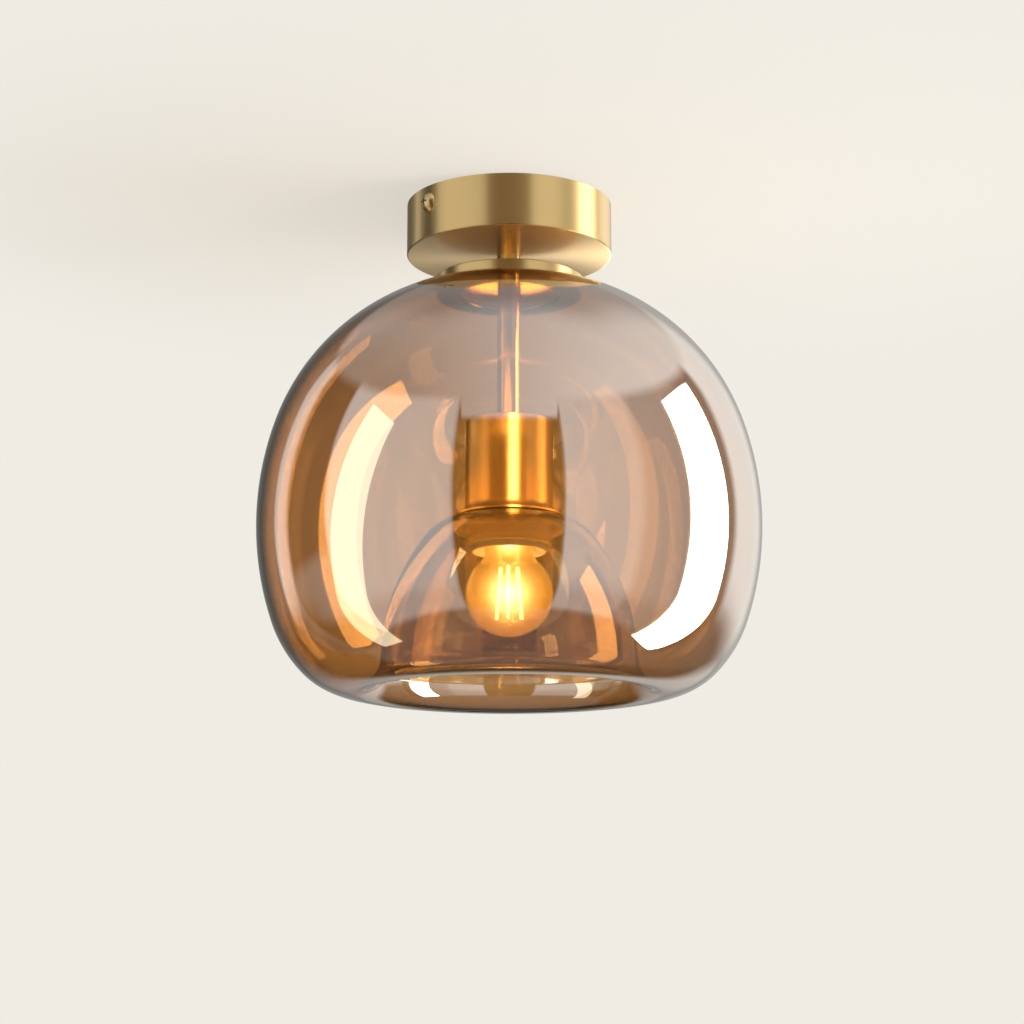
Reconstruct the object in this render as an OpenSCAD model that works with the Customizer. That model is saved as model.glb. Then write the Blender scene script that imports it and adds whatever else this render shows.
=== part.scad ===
// Semi-flush ceiling light: a brass canopy and stem carry a one-piece blown glass shade,
// whose globe turns in at the bottom and rises as a dome round the bulb.
// Millimetres. The ceiling is the plane z = 0 and the light hangs along -Z.

/* [Canopy] */
// Outside diameter of the canopy
canopy_d = 108; // [100:1:124]
// Height of the canopy below the ceiling
canopy_h = 27.5; // [25:0.5:36]
// Wall of the spun canopy
canopy_wall = 1.2; // [0.8:0.1:1.6]
// Rounding of the canopy's lower outer edge
canopy_edge_r = 0.8; // [0.4:0.1:2]
// Height below the ceiling of the two side screws
screw_drop = 9; // [7:0.5:12]
// Thread diameter of a side screw
screw_d = 4; // [3:0.5:5]
// Head diameter of a side screw
screw_head_d = 10; // [8:0.5:12]
// Height of the domed head of a side screw
screw_head_h = 3.4; // [2.6:0.1:4]
// Length of a side screw under its head
screw_l = 9; // [7:0.5:14]

/* [Bracket and terminals] */
// Width of the steel bracket
bracket_w = 18; // [16:1:24]
// Thickness of the bracket's strip
bracket_t = 1.6; // [1.2:0.1:2.4]
// Height of the bracket's end tabs
tab_h = 15; // [14:0.5:18]
// Distance between the centres of the two ceiling slots
slot_spacing = 64; // [60:1:68]
// Width of a ceiling slot
slot_w = 5; // [4:0.5:6]
// End-to-end length of a ceiling slot
slot_l = 18; // [12:1:20]
// Diameter of the hole that the supply cable comes in by
cable_hole_d = 12; // [10:0.5:14]
// Width of the terminal block across its two poles
block_w = 20; // [18:0.5:24]
// Length of the terminal block along its wires
block_l = 13; // [12:0.5:14]
// Height of the terminal block
block_h = 11; // [10:0.5:12]

/* [Stem] */
// Outside diameter of the threaded rod
rod_d = 10; // [8:0.5:10.5]
// Bore of the threaded rod
rod_bore_d = 7; // [6.4:0.1:7.4]
// Outside diameter of the brass tubes over the rod
stem_d = 12.5; // [12.2:0.1:14]
// Length of the upper tube, from canopy to glass cap
spacer_l = 13; // [8:0.5:40]
// Length of the lower tube, from glass cap to holder cup
stem_l = 75.4; // [68:0.2:84]
// Distance across the flats of the two rod nuts
nut_af = 14; // [13:0.5:15]
// Thickness of a rod nut
nut_t = 4; // [3:0.5:4.5]

/* [Glass cap] */
// Outside diameter of the brass cap over the glass
cap_d = 78.5; // [77.5:0.5:84]
// Thickness of the cap
cap_t = 1.5; // [1:0.1:1.8]
// Thickness of the soft ring between cap and glass
cap_gasket_t = 3.6; // [2.4:0.1:5]

/* [Glass shade] */
// Largest diameter of the globe
globe_d = 260; // [250:1:280]
// Height of the glass from its top seat to its lowest ring
glass_h = 214.4; // [208:0.2:226]
// Thickness of the blown glass
glass_t = 2.5; // [1.8:0.1:3]
// Diameter of the hole at the top of the globe
top_hole_d = 50.5; // [44:0.5:54]
// Radius of the flat seat round the top hole
seat_r = 37; // [34:0.5:37.5]
// Radius of the bend from the seat into the shoulder
blend_r = 18; // [14:1:24]
// Radius of the globe's side, at its widest
side_r = 158; // [140:1:180]
// Radius of the ring on which the glass is lowest
lip_r = 78; // [74:0.5:82]
// Radius of the fold at the lowest ring, outside the glass
fold_r = 15; // [11:0.5:16]
// Diameter of the hole at the top of the dome
dome_hole_d = 40.6; // [40.2:0.1:42]
// Radius of the flat seat at the top of the dome
dome_seat_r = 24; // [22:0.5:26]
// Radius of the dome's crown
crown_r = 24.5; // [18:0.5:28]
// Lean of the dome's wall above the fold
dome_lean = 3; // [1:0.5:6]

/* [Holder] */
// Outside diameter of the brass cup
cup_d = 45.4; // [45:0.2:50]
// Height of the cup from its top to the face of its lip
cup_h = 49.6; // [49:0.2:56]
// Wall of the spun cup
cup_wall = 1; // [0.8:0.1:1.2]
// Radius of the cup's flared lip
flare_r = 5.2; // [4:0.1:6]
// Outside diameter of the lampholder's threaded sleeve
sleeve_d = 39.4; // [38.8:0.1:39.8]
// How far the sleeve reaches below the cup's lip
sleeve_reach = 19.4; // [18:0.2:22]
// Inside diameter of the sleeve's mouth
mouth_d = 37; // [34:0.2:37.4]
// Distance from the sleeve's mouth up to the bulb's contact
contact_depth = 29.4; // [28.6:0.2:30.4]
// Thickness of each soft ring that grips the dome
seal_t = 0.6; // [0.4:0.1:1.5]
// Outside diameter of the shade ring's flange
ring_flange_d = 56.8; // [54:0.2:62]
// Height of the shade ring's flange
ring_flange_h = 3.9; // [3:0.1:5]
// Outside diameter of the shade ring's collar
ring_collar_d = 43.8; // [43:0.2:46]
// Height of the whole shade ring
ring_h = 11.9; // [10:0.1:12.4]

/* [Bulb] */
// Diameter of the bulb's globe
bulb_d = 45; // [42:0.5:46]
// Length of the bulb from its contact to its lowest point
bulb_l = 74; // [71:0.5:78]
// Outside diameter of the bulb's screw cap
bulb_cap_d = 26.2; // [25.6:0.1:26.4]
// Length of the bulb's screw shell
bulb_shell_l = 22; // [20:0.5:23]
// Thickness of the bulb's glass
bulb_wall = 0.8; // [0.5:0.1:1.2]
// Length of a filament rod
filament_l = 27; // [22:0.5:28]
// Diameter of a filament rod
filament_d = 1.8; // [1.2:0.1:2.4]

/* [Hidden] */
$fn = 96;

// Clearances
slip = 0.1;        // round a rod or screw in a plain hole
running = 0.08;    // between a turning thread and its mate
thread_gap = 0.05; // between a fixed thread and its mate
contact_gap = 0.05;
cut = 1;           // how far a cutting tool overruns a face
arc_step = 5;      // largest angle between two points of a drawn arc

// Heights, from the ceiling down
canopy_z = -canopy_h;
canopy_floor_z = canopy_z + canopy_wall;
cap_z = canopy_z - spacer_l;
cap_under_z = cap_z - cap_t;
seat_z = cap_under_z - cap_gasket_t;
glass_z = seat_z - glass_h;
cup_z = cap_under_z - stem_l;
lip_z = cup_z - cup_h;
upper_seal_z = lip_z - cup_wall;
dome_z = upper_seal_z - seal_t;
lower_seal_z = dome_z - glass_t;
ring_z = lower_seal_z - seal_t;
mouth_z = lip_z - sleeve_reach;

// Rod, washer, lugs, nuts and screws
rod_r = rod_d / 2;
rod_hole_r = rod_r + slip;
nut_hole_r = rod_r + thread_gap;
washer_t = 1;
washer_r = 9;
lug_t = 0.8;
lug_r = 8;
rod_stub = 2;
canopy_nut_z = canopy_floor_z + washer_t + lug_t;
rod_top_z = canopy_nut_z + nut_t + rod_stub;
cup_nut_z = cup_z - cup_wall - nut_t;
screw_r = screw_d / 2;
slot_depth = 1.2;
slot_cut = 1;
slot_share = 0.45;
edge_r = 0.6;

// Bracket
canopy_in_r = canopy_d / 2 - canopy_wall;
tab_gap = 0.3;
tab_x = sqrt(canopy_in_r * canopy_in_r - bracket_w * bracket_w / 4) - tab_gap;
bend_r = bracket_t + 0.8;
earth_x = cable_hole_d / 2 + 9;
earth_r = 2;
earth_head_r = 3.6;
earth_head_h = 2.4;

// Terminal block, between the cable hole and the slot on the -X side
block_gap = 0.5;
block_x = -cable_hole_d / 2 - block_gap - block_l;
block_mid_x = block_x + block_l / 2;
block_z = -bracket_t;
block_low_z = block_z - block_h;
pole_y = block_w / 4;
pole_z = block_z - 4.5;
pole_r = 2.4;
pole_bore_r = 1.5;
pole_inset = 1;
pole_screw_r = 1.25;
pole_screw_x = 3;
pole_screw_low_z = block_low_z + 1.5;
block_screw_r = 1.25;
block_head_r = 2.2;
block_head_h = 1.4;

// Wires
wire_r = 1;
lead_y = 1.7;
tongue_l = 3;
tongue_w = 2.4;

// Holder, worked up from the sleeve's mouth
cup_r = cup_d / 2;
cup_in_r = cup_r - cup_wall;
sleeve_r = sleeve_d / 2;
sleeve_chamfer = 0.6;
mouth_r = mouth_d / 2;
bulb_tip_z = mouth_z + contact_depth;
shell_in_r = bulb_cap_d / 2 + running;
shell_t = 0.5;
shell_top_gap = 0.1;
shell_reach = 19.5;
shell_low_z = bulb_tip_z - shell_reach;
mouth_floor_z = shell_low_z - 0.6;
contact_w = 6;
contact_t = 0.6;
insert_z = bulb_tip_z + 3;
insert_h = 11;
insert_base_h = 8;
insert_top_z = insert_z + insert_h;
holder_cap_r = cup_in_r - 0.8;
holder_cap_t = 2;
joint_r = holder_cap_r - holder_cap_t;
insert_r = joint_r - 1.6;
sleeve_top_z = insert_top_z - 2;
sleeve_step_h = 9.5;
sleeve_step_z = sleeve_top_z - sleeve_step_h;
holder_neck_r = rod_r + 3.5;
neck_h = 4;
neck_floor_t = 2.5;
holder_cap_z = cup_nut_z - 0.5;
rod_end_z = holder_cap_z - neck_h - neck_floor_t + 0.5;
terminal_y = 9;
terminal_r = 2.1;
terminal_h = 6;
terminal_seat = 5;
terminal_bore_h = 2;

// Shade ring
ring_bore_r = sleeve_r + running;
flange_r = ring_flange_d / 2;
flange_z = ring_z - ring_flange_h;
flange_t = 1.6;
flange_rim_t = 1.4;
collar_r = ring_collar_d / 2;
collar_low_z = ring_z - ring_h;
collar_chamfer = 0.4;
groove_depth = 0.7;
groove_top_z = (flange_z + collar_low_z) / 2 + 0.6;
groove_low_z = collar_low_z + 2;

// Bulb
bulb_r = bulb_d / 2;
bulb_cap_r = bulb_cap_d / 2;
bulb_low_z = bulb_tip_z - bulb_l;
bulb_z = bulb_low_z + bulb_r;
tip_h = 1.4;
tip_r = 5;
tip_chamfer = 0.5;
insulator_h = 3.6;
insulator_low_r = bulb_cap_r - 2.4;
bulb_shell_z = bulb_tip_z - tip_h - insulator_h;
bulb_shell_t = 0.4;
bulb_shell_low_z = bulb_shell_z - bulb_shell_l + insulator_h;
shell_crown = 2.4;
crown_lip = 1;
neck_r = bulb_cap_r - bulb_shell_t - thread_gap;
neck_blend_r = 7;
neck_top_z = bulb_shell_low_z + 8;
foot_z = bulb_shell_low_z + 4;
foot_r = neck_r - bulb_wall - slip;
foot_edge_h = 1.2;
foot_crown_h = 3;
foot_crown_r = 3;
stem_foot_r = 5;
stem_foot_h = 2;
pinch_r = 3.4;
pinch_gap = 4;
post_r = 1.4;
post_reach = 3;
filament_z = bulb_z + 0.5;
filament_top_z = filament_z + filament_l / 2;
filament_low_z = filament_z - filament_l / 2;
filament_top_r = 4.4;
filament_low_r = 6.4;
filament_count = 4;
filament_turn = 45;
lead_r = 0.35;
lead_rise = 5;
lead_in = 0.72;
spider_drop = 1.6;
end_gap = 0.3;

// Points of an arc after its first, in the r-z plane
function arc(c, r, from, to) =
    let (n = max(1, ceil(abs(to - from) / arc_step)))
    [for (i = [1:n]) let (a = from + (to - from) * i / n) c + r * [cos(a), sin(a)]];
function on(c, r, a) = c + r * [cos(a), sin(a)];
function back(points) = [for (i = [len(points) - 1:-1:0]) points[i]];
// Solves a x + b y = p and c x + d y = q
function solve(a, b, c, d, p, q) =
    let (det = a * d - b * c) [(p * d - b * q) / det, (a * q - p * c) / det];

// Glass profile: arcs tangent to one another, named from the seat down.
// Angles are those of the outward normal above the horizontal where two arcs meet.
globe_r = globe_d / 2;
shoulder_a = 75;
upper_side_a = 19;
lower_side_a = -19;
haunch_a = -44;
crown_a = 38;
blend_c = [seat_r, seat_z - blend_r];
shoulder_p = on(blend_c, blend_r, shoulder_a);
shoulder_r = (globe_r - shoulder_p[0] - side_r * (1 - cos(upper_side_a)))
    / (cos(upper_side_a) - cos(shoulder_a));
shoulder_c = shoulder_p - shoulder_r * [cos(shoulder_a), sin(shoulder_a)];
side_c = on(shoulder_c, shoulder_r - side_r, upper_side_a);
haunch_p = on(side_c, side_r, lower_side_a);
heel = solve(
    cos(lower_side_a) - cos(haunch_a), cos(haunch_a),
    sin(lower_side_a) - sin(haunch_a), 1 + sin(haunch_a),
    haunch_p[0] - lip_r, haunch_p[1] - glass_z);
haunch_r = heel[0];
heel_r = heel[1];
haunch_c = on(side_c, side_r - haunch_r, lower_side_a);
heel_c = on(haunch_c, haunch_r - heel_r, haunch_a);
fold_c = [lip_r, glass_z + fold_r];
fold_a = dome_lean - 180;
crown_c = [dome_seat_r, dome_z - crown_r];
crown_p = on(crown_c, crown_r, crown_a);
wall_p = on(fold_c, fold_r - glass_t, fold_a);
flank = solve(
    cos(dome_lean) - cos(crown_a), sin(dome_lean),
    sin(crown_a) - sin(dome_lean), cos(dome_lean),
    wall_p[0] - crown_p[0], crown_p[1] - wall_p[1]);
flank_r = flank[0];
flank_c = on(crown_c, crown_r - flank_r, crown_a);

// One face of the glass, inset by t from the outside
function glass_face(t) = concat(
    [[top_hole_d / 2, seat_z - t], [seat_r, seat_z - t]],
    arc(blend_c, blend_r - t, 90, shoulder_a),
    arc(shoulder_c, shoulder_r - t, shoulder_a, upper_side_a),
    arc(side_c, side_r - t, upper_side_a, lower_side_a),
    arc(haunch_c, haunch_r - t, lower_side_a, haunch_a),
    arc(heel_c, heel_r - t, haunch_a, -90),
    arc(fold_c, fold_r - t, -90, fold_a),
    [on(flank_c, flank_r - glass_t + t, dome_lean)],
    arc(flank_c, flank_r - glass_t + t, dome_lean, crown_a),
    arc(crown_c, crown_r - glass_t + t, crown_a, 90),
    [[dome_hole_d / 2, dome_z - glass_t + t]]);

// Routes of the wires inside the light
function lead_route(side) = [
    [block_mid_x - pole_screw_x, side * pole_y, pole_z],
    [block_mid_x + pole_screw_x, side * pole_y, pole_z],
    [block_x + block_l + 0.5, side * pole_y, pole_z],
    [block_x + block_l + 2.5, side * 4.6, pole_z - 0.6],
    [-1.6, side * 3.4, pole_z - 2.4],
    [-0.4, side * 2.2, pole_z - 5.4],
    [0, side * lead_y, rod_top_z + 1],
    [0, side * lead_y, rod_top_z - 4],
    [0, side * lead_y, (rod_top_z + rod_end_z) / 2],
    [0, side * lead_y, rod_end_z + 4],
    [0, side * lead_y, rod_end_z],
    [0, side * 2.6, rod_end_z - 3],
    [0, side * 5.2, insert_top_z + 4],
    [0, side * terminal_y, insert_top_z + 2],
    [0, side * terminal_y, insert_top_z + 0.2]
];
low_lug_z = canopy_floor_z + washer_t;
high_lug_z = -bracket_t - lug_t;
low_wire_z = low_lug_z + lug_t + 0.8 * wire_r;
high_wire_z = high_lug_z - 0.8 * wire_r;
earth_route = [
    [washer_r + 1, 0, low_wire_z],
    [washer_r + 4, 0, low_wire_z],
    [washer_r + 7, 0, low_wire_z + 0.6],
    [earth_x + 3.5, 0, low_wire_z + 2.6],
    [earth_x + 6, 0, low_wire_z + 5.4],
    [earth_x + 8, 0, (low_wire_z + high_wire_z) / 2],
    [earth_x + 8.6, 0, high_wire_z - 5.6],
    [earth_x + 8, 0, high_wire_z - 2.6],
    [earth_x + 6.4, 0, high_wire_z - 0.6],
    [earth_x + earth_head_r + 0.6, 0, high_wire_z]
];

// A wire of radius r swept along its route, with eight sides
function unit(v) = v / norm(v);
function heading(p, i) = unit(p[min(i + 1, len(p) - 1)] - p[max(i - 1, 0)]);
module wire(route, r, ref) {
    sides = 8;
    rings = len(route);
    points = [
        for (i = [0:rings - 1])
            let (t = heading(route, i), u = unit(cross(t, ref)), v = cross(t, u))
                for (k = [0:sides - 1])
                    route[i] + r * (cos(k * 360 / sides) * u + sin(k * 360 / sides) * v)
    ];
    walls = [
        for (i = [0:rings - 2], k = [0:sides - 1], half = [0:1])
            let (a = i * sides + k, b = i * sides + (k + 1) % sides)
                half == 0 ? [a, b + sides, b] : [a, a + sides, b + sides]
    ];
    start = [for (k = [1:sides - 2]) [0, k, k + 1]];
    end = [for (k = [1:sides - 2]) (rings - 1) * sides * [1, 1, 1] + [0, k + 1, k]];
    polyhedron(points, concat(start, walls, end));
}

module tube(outer, inner, h) {
    difference() {
        cylinder(r = outer, h = h);
        translate([0, 0, -cut]) cylinder(r = inner, h = h + 2 * cut);
    }
}

// Flat ring terminal with a tongue along +X
module lug(outer, inner, reach) {
    difference() {
        union() {
            cylinder(r = outer, h = lug_t);
            translate([0, -tongue_w / 2, 0]) cube([reach, tongue_w, lug_t]);
        }
        translate([0, 0, -cut]) cylinder(r = inner, h = lug_t + 2 * cut);
    }
}

// Hexagon nut standing on z = 0
module nut() {
    difference() {
        cylinder(r = nut_af / 2 / cos(30), h = nut_t, $fn = 6);
        translate([0, 0, -cut]) cylinder(r = nut_hole_r, h = nut_t + 2 * cut);
    }
}

// Domed screw along +Z: head above z = 0, shank below, cross recess in the head
module domed_screw(head_r, head_h, shank_r, length) {
    dome_r = (head_r * head_r + head_h * head_h) / (2 * head_h);
    start_a = asin((dome_r - head_h) / dome_r);
    difference() {
        union() {
            rotate_extrude() polygon(concat([[0, 0], [head_r, 0]],
                arc([0, head_h - dome_r], dome_r, start_a, 90)));
            translate([0, 0, -length]) cylinder(r = shank_r, h = length + head_h / 2);
        }
        for (turn = [0, 90]) rotate([0, 0, turn])
            translate([-head_r * slot_share, -slot_cut / 2, head_h - slot_depth])
                cube([2 * head_r * slot_share, slot_cut, slot_depth + cut]);
    }
}

// Strip bent down into a tab at each end
module mounting_bracket() {
    bend_x = tab_x - bend_r;
    inner_r = bend_r - bracket_t;
    outer = concat([[-tab_x, -tab_h], [-tab_x, -bend_r]],
        arc([-bend_x, -bend_r], bend_r, 180, 90),
        [[bend_x, 0]],
        arc([bend_x, -bend_r], bend_r, 90, 0),
        [[tab_x, -tab_h]]);
    inner = concat([[tab_x - bracket_t, -tab_h], [tab_x - bracket_t, -bend_r]],
        arc([bend_x, -bend_r], inner_r, 0, 90),
        [[-bend_x, -bracket_t]],
        arc([-bend_x, -bend_r], inner_r, 90, 180),
        [[-tab_x + bracket_t, -tab_h]]);
    color("silver") difference() {
        rotate([90, 0, 0]) translate([0, 0, -bracket_w / 2])
            linear_extrude(bracket_w) polygon(concat(outer, inner));
        translate([0, 0, -bracket_t - cut]) cylinder(d = cable_hole_d, h = bracket_t + 2 * cut);
        translate([earth_x, 0, -bracket_t - cut])
            cylinder(r = earth_r + thread_gap, h = bracket_t + 2 * cut);
        translate([block_mid_x, 0, -bracket_t - cut])
            cylinder(r = block_screw_r + thread_gap, h = bracket_t + 2 * cut);
        for (side = [-1, 1]) translate([side * slot_spacing / 2, 0, -bracket_t - cut]) {
            translate([-(slot_l - slot_w) / 2, -slot_w / 2, 0])
                cube([slot_l - slot_w, slot_w, bracket_t + 2 * cut]);
            for (end = [-1, 1]) translate([end * (slot_l - slot_w) / 2, 0, 0])
                cylinder(d = slot_w, h = bracket_t + 2 * cut);
        }
        translate([-tab_x - cut, 0, -screw_drop]) rotate([0, 90, 0])
            cylinder(r = screw_r + thread_gap, h = 2 * (tab_x + cut));
    }
}

module earth_screw() {
    color("khaki") translate([earth_x, 0, high_lug_z]) mirror([0, 0, 1])
        domed_screw(earth_head_r, earth_head_h, earth_r, bracket_t + lug_t - slip);
}

module terminal_block() {
    color("ivory") difference() {
        translate([block_x, -block_w / 2, block_low_z]) cube([block_l, block_w, block_h]);
        translate([block_mid_x, 0, block_low_z - cut])
            cylinder(r = block_screw_r + slip, h = block_h + 2 * cut);
        for (side = [-1, 1]) {
            translate([block_x - cut, side * pole_y, pole_z]) rotate([0, 90, 0])
                cylinder(r = pole_r + slip, h = block_l + 2 * cut);
            for (end = [-1, 1])
                translate([block_mid_x + end * pole_screw_x, side * pole_y, block_low_z - cut])
                    cylinder(r = pole_screw_r + 0.5, h = pole_z - block_low_z + cut);
        }
    }
}

module terminal_tubes() {
    color("gold") for (side = [-1, 1]) difference() {
        translate([block_x + pole_inset, side * pole_y, pole_z]) rotate([0, 90, 0])
            tube(pole_r, pole_bore_r, block_l - 2 * pole_inset);
        for (end = [-1, 1])
            translate([block_mid_x + end * pole_screw_x, side * pole_y, pole_z - pole_r - cut])
                cylinder(r = pole_screw_r + thread_gap, h = pole_r + cut);
    }
}

module terminal_screws() {
    length = pole_z - wire_r - slip - pole_screw_low_z;
    color("silver") for (side = [-1, 1], end = [-1, 1])
        translate([block_mid_x + end * pole_screw_x, side * pole_y, pole_screw_low_z])
            difference() {
                cylinder(r = pole_screw_r, h = length);
                translate([-pole_screw_r, -slot_cut / 4, -cut])
                    cube([2 * pole_screw_r, slot_cut / 2, cut + slot_depth / 2]);
            }
}

// Holds the terminal block to the bracket
module block_screw() {
    color("silver") translate([block_mid_x, 0, block_low_z]) mirror([0, 0, 1])
        domed_screw(block_head_r, block_head_h, block_screw_r, block_h + bracket_t - slip);
}

module canopy() {
    r = canopy_d / 2;
    rim_c = [r - canopy_edge_r, canopy_z + canopy_edge_r];
    color("goldenrod") difference() {
        rotate_extrude() polygon(concat(
            [[rod_hole_r, canopy_z], [rim_c[0], canopy_z]],
            arc(rim_c, canopy_edge_r, -90, 0),
            [[r, 0], [canopy_in_r, 0], [canopy_in_r, canopy_floor_z],
             [rod_hole_r, canopy_floor_z]]));
        translate([-r - cut, 0, -screw_drop]) rotate([0, 90, 0])
            cylinder(r = screw_r + slip, h = 2 * (r + cut));
    }
}

module canopy_screws() {
    color("gold") for (turn = [0, 180]) rotate([0, 0, turn])
        translate([canopy_d / 2, 0, -screw_drop]) rotate([0, 90, 0])
            domed_screw(screw_head_d / 2, screw_head_h, screw_r, screw_l);
}

module threaded_rod() {
    color("lightgray") translate([0, 0, rod_end_z])
        tube(rod_r, rod_bore_d / 2, rod_top_z - rod_end_z);
}

module canopy_washer() {
    color("silver") translate([0, 0, canopy_floor_z]) tube(washer_r, rod_hole_r, washer_t);
}

module canopy_nut() {
    color("gold") translate([0, 0, canopy_nut_z]) nut();
}

// From a lug under the canopy nut to a lug under the earth screw
module earth_wire() {
    color("green") {
        translate([0, 0, low_lug_z]) lug(lug_r, rod_hole_r, washer_r + tongue_l);
        wire(earth_route, wire_r, [0, 1, 0]);
        translate([earth_x, 0, high_lug_z])
            lug(earth_head_r, earth_r + slip, earth_head_r + tongue_l);
    }
}

module live_wire() {
    color("saddlebrown") wire(lead_route(1), wire_r, [1, 0.2, 0]);
}

module neutral_wire() {
    color("royalblue") wire(lead_route(-1), wire_r, [1, -0.2, 0]);
}

module stem_spacer() {
    color("goldenrod") translate([0, 0, cap_z]) tube(stem_d / 2, rod_hole_r, spacer_l);
}

// Disc with a rim that comes down round the gasket, just short of the glass
module glass_cap() {
    r = cap_d / 2;
    rim_z = seat_z + slip;
    color("goldenrod") rotate_extrude() polygon(concat(
        [[rod_hole_r, cap_under_z], [r - cap_t, cap_under_z], [r - cap_t, rim_z],
         [r, rim_z], [r, cap_z - edge_r]],
        arc([r - edge_r, cap_z - edge_r], edge_r, 0, 90),
        [[rod_hole_r, cap_z]]));
}

module cap_gasket() {
    color("dimgray") translate([0, 0, seat_z])
        tube(cap_d / 2 - cap_t - 1, top_hole_d / 2 + 2, cap_gasket_t);
}

module stem_tube() {
    color("goldenrod") translate([0, 0, cup_z]) tube(stem_d / 2, rod_hole_r, stem_l);
}

// Spun cup with a trumpet lip
module holder_cup() {
    flare_c = [cup_r + flare_r, lip_z + flare_r];
    color("goldenrod") rotate_extrude() polygon(concat(
        [[rod_hole_r, cup_z - cup_wall], [cup_in_r, cup_z - cup_wall], [cup_in_r, flare_c[1]]],
        arc(flare_c, flare_r + cup_wall, 180, 270),
        [[flare_c[0], lip_z]],
        arc(flare_c, flare_r, 270, 180),
        [[cup_r, cup_z - edge_r]],
        arc([cup_r - edge_r, cup_z - edge_r], edge_r, 0, 90),
        [[rod_hole_r, cup_z]]));
}

module cup_nut() {
    color("gold") translate([0, 0, cup_nut_z]) nut();
}

// Upper half of the lampholder: a neck screwed onto the rod, flaring to a skirt
module holder_cap() {
    slope = 0.7;
    shoulder_z = holder_cap_z - neck_h;
    skirt_z = shoulder_z - (holder_cap_r - holder_neck_r) * slope;
    skirt_low_z = sleeve_step_z + 0.5;
    color("whitesmoke") rotate_extrude() polygon([
        [nut_hole_r, holder_cap_z], [holder_neck_r, holder_cap_z], [holder_neck_r, shoulder_z],
        [holder_cap_r, skirt_z], [holder_cap_r, skirt_low_z],
        [joint_r + thread_gap, skirt_low_z], [joint_r + thread_gap, skirt_z - holder_cap_t / 2],
        [holder_neck_r, shoulder_z - neck_floor_t], [nut_hole_r, shoulder_z - neck_floor_t]
    ]);
}

// Ceramic block that holds the contacts, seated on a ledge in the sleeve
module holder_insert() {
    half_x = insert_r * 0.6;
    half_y = insert_r * 0.8;
    pocket = 6;
    color("white") translate([0, 0, insert_z]) difference() {
        union() {
            cylinder(r = insert_r, h = insert_base_h);
            translate([-half_x, -half_y, 0]) cube([2 * half_x, 2 * half_y, insert_h]);
        }
        translate([-pocket / 2, -pocket / 2, insert_h - 4]) cube([pocket, pocket, 4 + cut]);
        for (side = [-1, 1]) translate([0, side * terminal_y, insert_h - terminal_seat])
            cylinder(r = terminal_r + slip, h = terminal_seat + cut);
        translate([0, 0, -cut]) cylinder(r = contact_w / 2 - 1, h = insert_h);
    }
}

module holder_terminals() {
    color("gold") for (side = [-1, 1])
        translate([0, side * terminal_y, insert_top_z - terminal_seat]) difference() {
            cylinder(r = terminal_r, h = terminal_h);
            translate([0, 0, terminal_h - terminal_bore_h])
                cylinder(r = wire_r + slip, h = terminal_bore_h + cut);
        }
}

// Threaded sleeve that the shade ring screws onto
module holder_sleeve() {
    liner_r = shell_in_r + shell_t + slip;
    color("whitesmoke") rotate_extrude() polygon([
        [insert_r + slip, sleeve_top_z], [joint_r, sleeve_top_z], [joint_r, sleeve_step_z],
        [sleeve_r, sleeve_step_z], [sleeve_r, mouth_z + sleeve_chamfer],
        [sleeve_r - sleeve_chamfer, mouth_z], [mouth_r, mouth_z], [mouth_r, mouth_floor_z],
        [shell_in_r, mouth_floor_z], [shell_in_r, shell_low_z], [liner_r, shell_low_z],
        [liner_r, insert_z], [insert_r + slip, insert_z]
    ]);
}

module thread_shell() {
    color("gold") translate([0, 0, shell_low_z])
        tube(shell_in_r + shell_t, shell_in_r, insert_z - shell_low_z - shell_top_gap);
}

// Sprung strip that meets the bulb's contact
module centre_contact() {
    low_z = bulb_tip_z + contact_gap;
    color("gold") translate([-contact_w / 2, -contact_w / 2, low_z]) {
        cube([contact_w, contact_w, contact_t]);
        translate([0, contact_w - contact_t, 0]) cube([contact_w, contact_t, insert_z - low_z]);
    }
}

module upper_seal() {
    color("white") translate([0, 0, dome_z]) tube(dome_seat_r, dome_hole_d / 2, seal_t);
}

// Blown in one piece: globe, lowest fold and dome
module glass_shade() {
    color("sandybrown", 0.45)
        rotate_extrude() polygon(concat(glass_face(0), back(glass_face(glass_t))));
}

module lower_seal() {
    color("white") translate([0, 0, ring_z]) tube(dome_seat_r, dome_hole_d / 2, seal_t);
}

// A dished flange over a collar with one groove
module shade_ring() {
    dish_r = flange_r - flange_rim_t;
    groove_r = collar_r - groove_depth;
    color("wheat") rotate_extrude() polygon([
        [ring_bore_r, ring_z], [flange_r, ring_z], [flange_r, flange_z],
        [dish_r, flange_z], [dish_r, ring_z - flange_t], [collar_r, ring_z - flange_t],
        [collar_r, groove_top_z], [groove_r, groove_top_z - groove_depth],
        [groove_r, groove_low_z], [collar_r, groove_low_z - groove_depth],
        [collar_r, collar_low_z + collar_chamfer], [collar_r - collar_chamfer, collar_low_z],
        [ring_bore_r, collar_low_z]
    ]);
}

module bulb_contact() {
    color("silver") translate([0, 0, bulb_tip_z - tip_h]) rotate_extrude() polygon([
        [0, 0], [tip_r, 0], [tip_r, tip_h - tip_chamfer], [tip_r - tip_chamfer, tip_h], [0, tip_h]
    ]);
}

module bulb_insulator() {
    top_z = bulb_tip_z - tip_h;
    color("black") rotate_extrude() polygon([
        [0, top_z], [tip_r, top_z], [insulator_low_r, bulb_shell_z], [0, bulb_shell_z]
    ]);
}

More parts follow.
